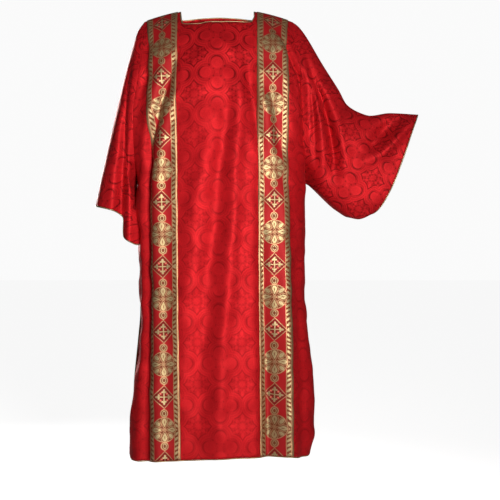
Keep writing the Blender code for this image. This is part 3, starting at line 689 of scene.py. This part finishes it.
# The folds of each sleeve's front and back, as lines of knots seen from the front, in
# millimetres: x, z, height, width
RAISED_FRONT = (
    ((226, -100, 0, 8), (233, -150, 5, 8), (245, -190, 7, 8), (248.5, -260, 8, 8),
     (249, -360, 5, 9), (251, -440, 0, 10)),
    ((248, -160, 0, 8), (258, -240, -8, 9), (264, -300, -10, 9), (268, -400, -6, 11),
     (270, -460, 0, 12)),
    ((252, -120, 0, 9), (262, -180, 5, 10), (274, -260, 7, 12), (284, -340, 8, 13),
     (290, -430, 5, 15), (292, -500, 0, 14)),
    ((226, -75, 0, 9), (246, -145, -12, 10), (266, -205, -18, 11), (288, -256, -22, 12),
     (304, -312, -26, 13), (315, -364, -28, 14), (322, -414, -24, 15), (324, -455, -10, 16),
     (322, -490, 0, 18)),
    ((256, -140, 0, 14), (294, -220, 4, 15), (330, -310, 6, 18), (350, -400, 5, 20),
     (356, -480, 0, 22)),
    ((552, -292, 4, 12), (524, -324, 14, 13), (494, -356, 16, 14), (462, -392, 14, 15),
     (424, -416, 8, 18), (376, -430, 0, 20)),
    ((522, -288, 0, 16), (492, -308, -20, 20), (458, -338, -26, 21), (432, -372, -18, 18),
     (402, -396, 0, 16)),
    ((380, -268, 0, 10), (366, -300, 5, 12), (356, -345, 0, 14)),
    ((352, -232, 0, 10), (338, -262, -4, 11), (330, -300, 0, 12)),
)
RAISED_BACK = (
    ((232, -90, 0, 12), (262, -200, -12, 14), (296, -310, -17, 15), (322, -420, -13, 18),
     (330, -500, 0, 20)),
    ((240, -150, 0, 10), (256, -270, 9, 11), (268, -400, 7, 13), (270, -480, 0, 14)),
    ((300, -220, 0, 14), (336, -330, 10, 17), (356, -440, 6, 20), (360, -520, 0, 20)),
    ((545, -300, 0, 14), (500, -350, 13, 18), (440, -410, 10, 20), (390, -450, 0, 22)),
    ((500, -290, 0, 16), (455, -320, -12, 20), (415, -370, -8, 20), (385, -410, 0, 20)),
)
HANGING_FRONT = (
    ((-228, -60, 0, 10), (-234, -130, -8, 11), (-242, -220, -12, 12), (-250, -310, -16, 15),
     (-257, -420, -22, 17), (-264, -520, -28, 18), (-266, -640, -32, 18)),
    ((-216, -50, 0, 10), (-222, -100, 7, 10), (-228, -190, 7, 11), (-236, -260, 0, 12)),
    ((-240, -80, 0, 10), (-252, -160, 7, 12), (-264, -260, 6, 14), (-276, -360, 0, 16)),
    ((-236, -300, 0, 10), (-240, -380, 8, 11), (-243, -500, 12, 12), (-247, -650, 13, 13)),
    ((-290, -340, 0, 14), (-298, -420, -5, 16), (-306, -540, -7, 18)),
)
HANGING_BACK = (
    ((-232, -100, 0, 12), (-248, -240, -10, 15), (-262, -400, -13, 18), (-272, -620, -14, 20)),
    ((-250, -120, 0, 14), (-276, -300, 9, 17), (-298, -550, 10, 22)),
    ((-226, -240, 0, 12), (-234, -380, 8, 14), (-240, -600, 6, 16)),
)
FOLD_EASE = 0.22        # share of a sleeve over which its folds rise from the armhole

# The hanging sleeve's folded cuff: its outer part hangs higher than its inner part,
# and the inner part's fold is pushed out under it.
CuffStep = namedtuple("CuffStep", "share lift shift")
STRAIGHT_CUFF = table(CuffStep, ((0, 0, 0), (1, 0, 0)))
HANGING_CUFF = table(CuffStep, (
    (0, 0, 0),
    (0.3, 22, 0),
    (0.5, 32, 0),
    (0.61, 30, 4),
    (0.71, -16, 21),
    (0.82, -22, 12),
    (1, 0, 0),
))


def hang_sleeve(rows, front_folds, back_folds, cuff, hug, side, armhole):
    """A sleeve's points, rings by points: down the front, up the back."""
    count = len(armhole)
    half = count // 2
    even = 2 * np.pi * np.arange(count) / count
    drop = (armhole[:, 2] - armhole[0, 2]) / (armhole[half, 2] - armhole[0, 2])
    own = np.arccos(1 - 2 * np.clip(drop, 0, 1))
    own[half + 1:] = 2 * np.pi - own[half + 1:]
    alongs = np.linspace(0, 1, SLEEVE_RINGS + 1)[:, None]
    turns = own + (even - own) * ease(alongs)
    share = (1 - np.cos(turns)) / 2
    swell = np.sin(turns)
    round_out = np.sign(swell) * np.abs(swell) ** (1 - UNDER_SQUARE * share)
    row = read_row(rows, "along", alongs)
    chord_x = row["under_x"] - row["upper_x"]
    chord_z = row["under_z"] - row["upper_z"]
    bow = side * row["bow"] * np.abs(swell) * share / np.hypot(chord_x, chord_z)
    x = row["upper_x"] + chord_x * share - bow * chord_z
    x -= side * hug * ease(alongs / HUG_BLEND) * np.clip(swell, 0, 1) ** 2 * share ** 4
    y = row["mid_y"] - np.where(swell > 0, row["front"], row["back"]) * round_out
    z = row["upper_z"] + chord_z * share + bow * chord_x
    step = read_row(cuff, "share", share)
    x += side * np.where(swell > 0, step["shift"], 0) * alongs ** 2
    z += np.where(swell > 0, step["lift"], np.maximum(step["lift"], 0)) * alongs ** 2
    points = np.stack([x, y, z], axis=2)
    follow = np.clip(1 - alongs / ARMHOLE_BLEND, 0, 1) ** 2
    points += follow[:, :, None] * (armhole - points[0])[None]
    fade = ease(alongs / FOLD_EASE) * np.sqrt(np.abs(swell))
    x, z = points[:, :, 0], points[:, :, 2]
    lift = np.where(swell > 0, -fold_lift(front_folds, x, z), fold_lift(back_folds, x, z))
    points[:, :, 1] += (lift + rumple(x, z)) * fade
    return points


def sleeve_normals(points, side):
    """Outward directions of a sleeve; side is 1 for the wearer's left."""
    along = np.gradient(points, axis=0)
    around = np.roll(points, -1, axis=1) - np.roll(points, 1, axis=1)
    return unit(side * np.cross(around, along))


damask_sleeve = damask("sleeve damask", drop=0.0, scale=1.2)

sleeves, sleeve_out, sleeve_pieces = {}, {}, {}
for name, rows, front_folds, back_folds, cuff, hug, side, edge, grain, slide in (
        ("left", RAISED_ROWS, RAISED_FRONT, RAISED_BACK, STRAIGHT_CUFF, 0.0, 1, -1,
         0.40, (-0.011, -0.031)),
        ("right", HANGING_ROWS, HANGING_FRONT, HANGING_BACK, HANGING_CUFF, HANGING_HUG, -1, 0,
         0.22, (0.041, -0.029))):
    down = slice(0, ARMHOLE_ROWS + 1)
    back_up = slice(ARMHOLE_ROWS - 1, 0, -1)
    armhole = np.concatenate([panels["front"][down, edge], panels["back"][back_up, edge]])
    armhole[[0, ARMHOLE_ROWS], 1] = 0.0
    points = hang_sleeve(rows, front_folds, back_folds, cuff, hug, side, armhole)
    sleeves[name], sleeve_out[name] = points, sleeve_normals(points, side)
    # The sheet starts and ends at the seam under the arm and is laid out from its
    # upper edge, with the grain turned a little towards the arm.
    order = np.r_[ARMHOLE_ROWS:0:-1, 0, 2 * ARMHOLE_ROWS - 1:ARMHOLE_ROWS - 1:-1]
    sheet = points[:, order]
    run = np.cumsum(np.linalg.norm(np.diff(sheet, axis=1), axis=2), axis=1)
    run = np.concatenate([np.zeros((len(sheet), 1)), run], axis=1)
    run = np.abs(run - run[:, [ARMHOLE_ROWS]])[..., None]
    upper = sheet[:, [ARMHOLE_ROWS]][..., (0, 2)]
    chord = unit(sheet[:, [0]][..., (0, 2)] - upper)
    beside = np.stack([-chord[..., 1], chord[..., 0]], axis=2)
    off = np.sum((sheet[..., (0, 2)] - upper) * beside, axis=2, keepdims=True)
    laid = upper + chord * run + beside * off
    across, up = laid[..., 0], laid[..., 1]
    c, s = math.cos(grain), math.sin(grain)
    cut = np.stack([across * c - up * s, across * s + up * c], axis=2) + slide
    piece = lay_cloth("cloth_sleeve_" + name, sheet, cut, damask_sleeve, side < 0)
    apply(piece, "WELD", merge_threshold=0.00005)
    apply(piece, "SOLIDIFY", thickness=WALL, offset=0)
    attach(piece, "root")
    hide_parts("sleeve_" + name)
    sleeve_pieces[name] = piece

# ---- the galloon bands ----
# Two bands of church galloon, woven in gold thread on red, run from the front hem over
# the shoulders to the back hem. Each is sewn flat to the damask along both its edges.

BAND_HEIGHT = WALL / 2 + 0.0003     # its underside, from the middle of the damask
BAND_THICK = 0.0012
BAND_SHORT = 0.1        # share of the last row by which it ends above the hem's edge
BAND_MIDDLE = (BAND_INNER + BAND_OUTER) / 2
WEAVE_REPEAT = 174.8    # medallion to medallion, in millimetres of the band
WEAVE_DROP = {"right": 0.1305, "left": 0.121}   # the first medallion, from the shoulder line
RIB_PITCH = 1.3
HALF_ROOT = 0.7071

# Gold and rose thread each come in two copies: as painted in light (LIT) and as painted in shade
GOLD_LIT = (0.62, 0.50, 0.27, 1)
GOLD_SHADED = (0.22, 0.125, 0.048, 1)
ROSE_LIT = (0.60, 0.35, 0.19, 1)
ROSE_SHADED = (0.24, 0.105, 0.042, 1)
FIELD_RED = (0.36, 0.008, 0.010, 1)
FIELD_DARK = (0.20, 0.010, 0.008, 1)
BROWN = (0.15, 0.042, 0.014, 1)
CORAL = (0.66, 0.15, 0.10, 1)


def galloon():
    """The galloon's weave: medallions and lozenges with crosses between two borders."""
    finish, shader, cut = start_finish("gold galloon", Specular_IOR_Level=0.2)
    x = cut.part(0) * 1000.0
    down = cut.part(1) * -1000.0
    ax = abs(x)
    y = (down + WEAVE_REPEAT * 10.5) % WEAVE_REPEAT - WEAVE_REPEAT / 2
    ay = abs(y)                         # from the nearest medallion's centre
    ly = WEAVE_REPEAT / 2 - ay          # from the nearest lozenge's centre

    # Medallion: a ring, four drop-shaped petals in loops, four small leaves between them
    medallion = ellipse(x, y, 0, 0, 31.4, 33.6)
    along = (ax + ay) * HALF_ROOT
    beside = abs(ax - ay) * HALF_ROOT
    petal = ellipse(ax, ay, 0, 19.0, 6.8, 11.6).most(ax * 0.90 - (ay - 6.5) * 0.42).least(
        ellipse(ax, ay, 18.4, 0, 11.2, 6.8).most(ay * 0.90 - (ax - 6.5) * 0.42))
    small = ellipse(along, beside, 23.6, 0, 7.2, 4.4)
    vein = ellipse(ax, ay, 0, 20.5, 1.0, 4.5).least(ellipse(ax, ay, 19.8, 0, 4.5, 1.0))
    eye = ring(circle(ax, ay, 0, 0, 3.6), 1.3)
    fine = ring(petal - 2.4, 1.3).least(ring(small - 1.9, 1.2), eye)
    circlet = ring(medallion + 1.1, 2.2)

    # Borders: an edge line, a plain stripe, a row of slanting leaves, and an inner line
    step = (ay + ax * 0.6) % (WEAVE_REPEAT / 14) - WEAVE_REPEAT / 28
    swell = (ax - 33.4) / 5.4
    leaf = abs(step) - 3.4 * (1.0 - swell * swell * swell * swell)
    leaf = leaf.most(1.2 - medallion)
    edges = ring(ax - 41.3, 6.4).least(ring(ax - 27.8, 2.0).most(1.0 - medallion))

    # Link: a teardrop between medallion and lozenge, with a seed in it
    point = (ax * 0.9 + ay * 0.5 - 29.2).most(44.0 - ay)
    drop = ellipse(ax, ay, 0, 43.6, 10.4, 11.2).least(point)
    seed = ring(ellipse(ax, ay, 0, 43.4, 4.2, 6.2), 1.5)

    # Lozenge: a line round a dark field and a cross with fleury ends
    lozenge = (ax + ly * 0.97 - 31.0) * 0.71
    rail = ring(lozenge + 1.0, 1.9)
    lx = ax / 1.05
    arm = lx.least(ly)
    tip = lx.most(ly)
    stem = (arm - 1.3).most(tip - 13.0)
    fleur = ellipse(arm, tip, 0, 15.8, 2.8, 5.2).least(ellipse(arm, tip, 4.2, 12.6, 2.6, 2.4))
    cross = stem.least(fleur)

    # Which thread shows: brown or red ground, rose-gold lines, pale gold figures, coral dots
    in_drop = drop.covers(0.6)
    rose = edges.least(circlet, fine.most(medallion + 2.0), rail.most(0.8 - drop)).least(
        ring(drop + 1.3, 2.6)).covers(0.7)
    pale = petal.most(vein * -1.0).least(
        small, circle(ax, ay, 0, 0, 1.4), cross, seed, leaf).covers(0.7)
    coral = circle(ax, ly, 8.9, 8.7, 2.7).covers(0.7)

    # Gold thread: fine ribs across the band, and painted glints where threads catch the light
    # unevenly, in the colour as well as the roughness
    ribs = (down * 6.28 / RIB_PITCH).math("SINE") * 0.5 + 0.5
    glint = cut.stretched(380.0, 760.0, 1.0).noise(1.0, 3.0)
    tarnish = cut.noise(20.0)
    # painted glints, with tarnish, move the gold and rose between their painted lit and shaded
    # colours
    tarnish_and_painted_glint = glint * 1.5 + tarnish * 0.6 - 0.55
    border = (29.0 - ax).covers(0.8)
    browned = border.most((medallion + 2.0).covers(0.8), in_drop)
    ground = ((lozenge + 2.0).covers(0.8) + (tarnish - 0.5) * 0.3).colour(FIELD_RED, FIELD_DARK)

    # painted glints also vary how much of the brown ground shows
    colour = (browned * (0.80 + glint * 0.2)).colour(ground, BROWN)
    colour = rose.colour(colour, tarnish_and_painted_glint.colour(ROSE_SHADED, ROSE_LIT))
    colour = pale.colour(colour, tarnish_and_painted_glint.colour(GOLD_SHADED, GOLD_LIT))
    colour = coral.colour(colour, CORAL)
    gold = rose.most(pale)
    height = gold * 0.6 + coral * 0.5 + ribs * gold * 0.2 + glint * 0.25
    join(shader, Base_Color=colour, Metallic=gold * 0.50 + 0.25, Normal=height.bump(0.4, 0.0005),
         Roughness=0.60 - gold * 0.08 + (glint - 0.5) * 0.16)
    return finish


gold_galloon = galloon()

for name, points in panels.items():
    start = OUTER_COLUMNS
    end = points.shape[1] - 1 - start
    for side, first in (("right", start), ("left", end - BAND_COLUMNS)):
        columns = slice(first, first + BAND_COLUMNS + 1)
        base = points[:, columns] + normals[name][:, columns] * BAND_HEIGHT
        base[-1] += (base[-2] - base[-1]) * BAND_SHORT
        # The weave's rows lie square to the band's own middle line.
        middle = base[:, [BAND_COLUMNS // 2]]
        run = np.cumsum(np.linalg.norm(np.diff(middle, axis=0), axis=2), axis=0)
        run = np.concatenate([[[0.0]], run])
        slant = np.sum((base - middle) * unit(np.gradient(middle, axis=0)), axis=2)
        across = np.abs(cuts[name][:, columns, 0]) - BAND_MIDDLE
        cut = np.stack([across, WEAVE_DROP[side] - run - slant], axis=2)
        band = lay_cloth(f"galloon_{name}_{side}", base, cut, gold_galloon, name == "front")
        apply(band, "SOLIDIFY", thickness=BAND_THICK, offset=1)
        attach(band, "root")
        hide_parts(f"orphrey_{name}_{side}")

# ---- the gold cord ----
# A twisted gold cord 3 mm thick is sewn round the neckline, along both cuffs, down the
# slits, round their corners and along each hem, just past the cloth's edge.

CORD_RADIUS = 0.0015
CORD_SIDES = 12
CORD_STRANDS = 3
CORD_LAY = 0.0075       # length of one full twist
CORD_STEP = 0.0011
CORD_GROOVE = 0.07      # depth of the grooves between strands, as a share of the radius
THREADS_ROUND = 12
THREAD_PITCH = 0.0012


def gold_cord():
    """Gold thread wound round a core, with a painted highlight on each turn, painted shade between
    turns and painted glints.
    """
    finish, shader, cut = start_finish("gold cord", Specular_IOR_Level=0.5)
    winding = cut.part(0) * 6.2832 * THREADS_ROUND + cut.part(1) * (6.2832 / THREAD_PITCH)
    thread = winding.math("SINE") * 0.5 + 0.5
    glint = cut.noise(300.0)
    # the colour paints each thread lit on its crest and shaded between turns, with painted glints
    join(shader, Base_Color=(thread * 0.4 + glint * 0.6).colour(GOLD_SHADED, GOLD_LIT),
         Metallic=glint * 0.2 + 0.6, Roughness=0.45 - glint * 0.15,
         Normal=thread.bump(0.3, 0.0002))
    return finish


def run_cord(name, edge, out, centre, past, closed):
    """A twisted cord beside a cloth edge: away from a centre if past is 1, else towards it."""
    if closed:
        edge, out = (np.concatenate([line, line[:1]]) for line in (edge, out))
    run = np.append(0, np.cumsum(np.linalg.norm(np.diff(edge, axis=0), axis=1)))
    lays = max(round(run[-1] / CORD_LAY), 1)
    steps = lays * round(CORD_LAY / CORD_STEP) + 1
    along = np.linspace(0, run[-1], steps)
    edge = np.stack([np.interp(along, run, edge[:, k]) for k in range(3)], axis=1)
    out = np.stack([np.interp(along, run, out[:, k]) for k in range(3)], axis=1)
    tangent = np.gradient(edge, axis=0)
    if closed:
        tangent[0] = tangent[-1] = edge[1] - edge[-2]
    tangent = unit(tangent)
    out = unit(out - tangent * np.sum(out * tangent, axis=1, keepdims=True))
    away = np.cross(tangent, out)
    away *= past * np.sign(np.sum(away * (edge - centre)))
    centres = edge + away * (CORD_RADIUS + SEAM_GAP)
    turn = 2 * np.pi * np.arange(CORD_SIDES + 1) / CORD_SIDES
    twist = 2 * np.pi * lays * along / run[-1]
    strands = np.cos(CORD_STRANDS * (turn[None] - twist[:, None]))
    radius = CORD_RADIUS * (1 - CORD_GROOVE + CORD_GROOVE * strands)
    rings = (centres[:, None] + (radius * np.cos(turn))[..., None] * away[:, None]
             + (radius * np.sin(turn))[..., None] * out[:, None])
    cut = np.stack(np.meshgrid(along, turn / (2 * np.pi), indexing="ij")[::-1], axis=2)
    facing_out = np.sum(np.cross(away, out) * tangent) > 0
    cord = lay_cloth(name, rings, cut, cord_finish, facing_out)
    apply(cord, "WELD", merge_threshold=0.00002)
    if not closed:
        with bpy.context.temp_override(object=cord, active_object=cord, selected_objects=[cord]):
            bpy.context.view_layer.objects.active = cord
            bpy.ops.object.mode_set(mode="EDIT")
            bpy.ops.mesh.select_all(action="SELECT")
            bpy.ops.mesh.fill_holes(sides=CORD_SIDES)
            bpy.ops.object.mode_set(mode="OBJECT")
    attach(cord, "root")
    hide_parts(name.replace("cord_", "piping_"))
    return cord


def hem_path(grid):
    """A panel's free edge: down one slit, along the hem, up the other slit."""
    start = ARMHOLE_ROWS + SIDE_SEAM_ROWS + SLIT_LEAD_ROWS
    return np.concatenate([grid[start:-1, 0], grid[-1], grid[-2:start - 1:-1, -1]])


def neck_path(grid):
    """A panel's neckline: down its right side, along its foot, up its left side."""
    last = grid.shape[1] - 1 - neck_first
    foot = grid[NECK_ROWS, neck_first:last + 1]
    return np.concatenate([grid[:NECK_ROWS, neck_first], foot, grid[:NECK_ROWS, last][::-1]])


cord_finish = gold_cord()
cords = {}
for name, points in sleeves.items():
    inside_cuff = points[-8].mean(axis=0)
    cords["cuff_" + name] = run_cord("cord_cuff_" + name, points[-1], sleeve_out[name][-1],
                                     inside_cuff, 1, True)
for name, points in panels.items():
    cords["hem_" + name] = run_cord("cord_hem_" + name, hem_path(points), hem_path(normals[name]),
                                    points[ARMHOLE_ROWS].mean(axis=0), 1, False)
neck = [neck_path(panels[name]) for name in panels]
neck_out = [neck_path(normals[name]) for name in panels]
loop = np.concatenate([neck[0], neck[1][-2:0:-1]])
loop[[0, len(neck[0]) - 1], 1] = 0.0
cords["neck"] = run_cord("cord_neck", loop, np.concatenate([neck_out[0], neck_out[1][-2:0:-1]]),
                         loop.mean(axis=0), -1, True)

# ---- the cords at the hems and cuffs ----
# Each panel is a straight length of damask, each sleeve a rectangle folded in two, and
# each galloon band a strip of its own weave. Here each panel's hem cord and each
# sleeve's cuff cord is only looked up, and nothing more is done with it.

for name, body in bodies.items():
    cords["hem_" + name]
for name, piece in sleeve_pieces.items():
    cords["cuff_" + name]

# ---- floor, light and camera ----
# A pale studio floor under the garment, one tall key light from the front and a little
# to the wearer's left, weak lights from the right and behind, and a pale surround.

FLOOR_Z = -1.50
bpy.ops.mesh.primitive_plane_add(size=60, location=(0, 0, FLOOR_Z))
floor = bpy.context.object
floor.name = "studio_floor"
bpy.ops.object.transform_apply(location=True)
paper = bpy.data.materials.new("pale paper")
paper.use_nodes = True
coat = paper.node_tree.nodes["Principled BSDF"]
coat.inputs["Base Color"].default_value = (0.86, 0.86, 0.86, 1)
coat.inputs["Roughness"].default_value = 0.9
coat.inputs["Emission Color"].default_value = (1.0, 1.0, 1.0, 1)
seen = Shade(paper.node_tree.nodes.new("ShaderNodeLightPath").outputs["Is Camera Ray"])
paper.node_tree.links.new((seen * 0.88).socket, coat.inputs["Emission Strength"])
floor.data.materials.append(paper)

world = bpy.data.worlds.new("studio")
bpy.context.scene.world = world
world.use_nodes = True
surround = world.node_tree.nodes["Background"]
surround.inputs["Color"].default_value = (1.0, 1.0, 1.0, 1)
seen = Shade(world.node_tree.nodes.new("ShaderNodeLightPath").outputs["Is Camera Ray"])
world.node_tree.links.new((seen * 0.90 + 0.06).socket, surround.inputs["Strength"])


def studio_light(name, place, aim, wide, tall, power, spread=180, colour=(1, 1, 1)):
    """A soft light at a place, turned to its aim; a smaller spread keeps it to a beam."""
    lamp = bpy.data.lights.new(name, "AREA")
    lamp.shape = "RECTANGLE"
    lamp.size, lamp.size_y = wide, tall
    lamp.spread = math.radians(spread)
    lamp.energy = power
    lamp.color = colour
    item = bpy.data.objects.new(name, lamp)
    bpy.context.scene.collection.objects.link(item)
    item.location = place
    direction = np.array(aim) - np.array(place)
    flat = math.hypot(direction[0], direction[1])
    item.rotation_euler = (math.atan2(flat, -direction[2]), 0,
                           math.atan2(direction[1], direction[0]) - math.pi / 2)


studio_light("key", (0.9, -3.5, -0.22), (-0.08, 0, -0.53), 0.5, 1.4, 11.7, 45, (1.0, 0.98, 0.95))
studio_light("fill", (-2.6, -2.4, 0.2), (0.0, 0, -0.6), 2.0, 2.0, 6)
studio_light("back", (-1.4, 3.4, 0.2), (0.0, 0, -0.6), 1.0, 1.6, 20, 60)

# The camera stands in front of the garment at half its height, a little to the left.
lens = bpy.data.cameras.new("camera")
lens.lens = 87.4
lens.sensor_width = 36
camera = bpy.data.objects.new("camera", lens)
bpy.context.scene.collection.objects.link(camera)
camera.location = (0.0896, -3.4, -0.666)
camera.rotation_euler = (math.radians(90), 0, 0)
bpy.context.scene.camera = camera
bpy.context.scene.view_settings.view_transform = "Standard"
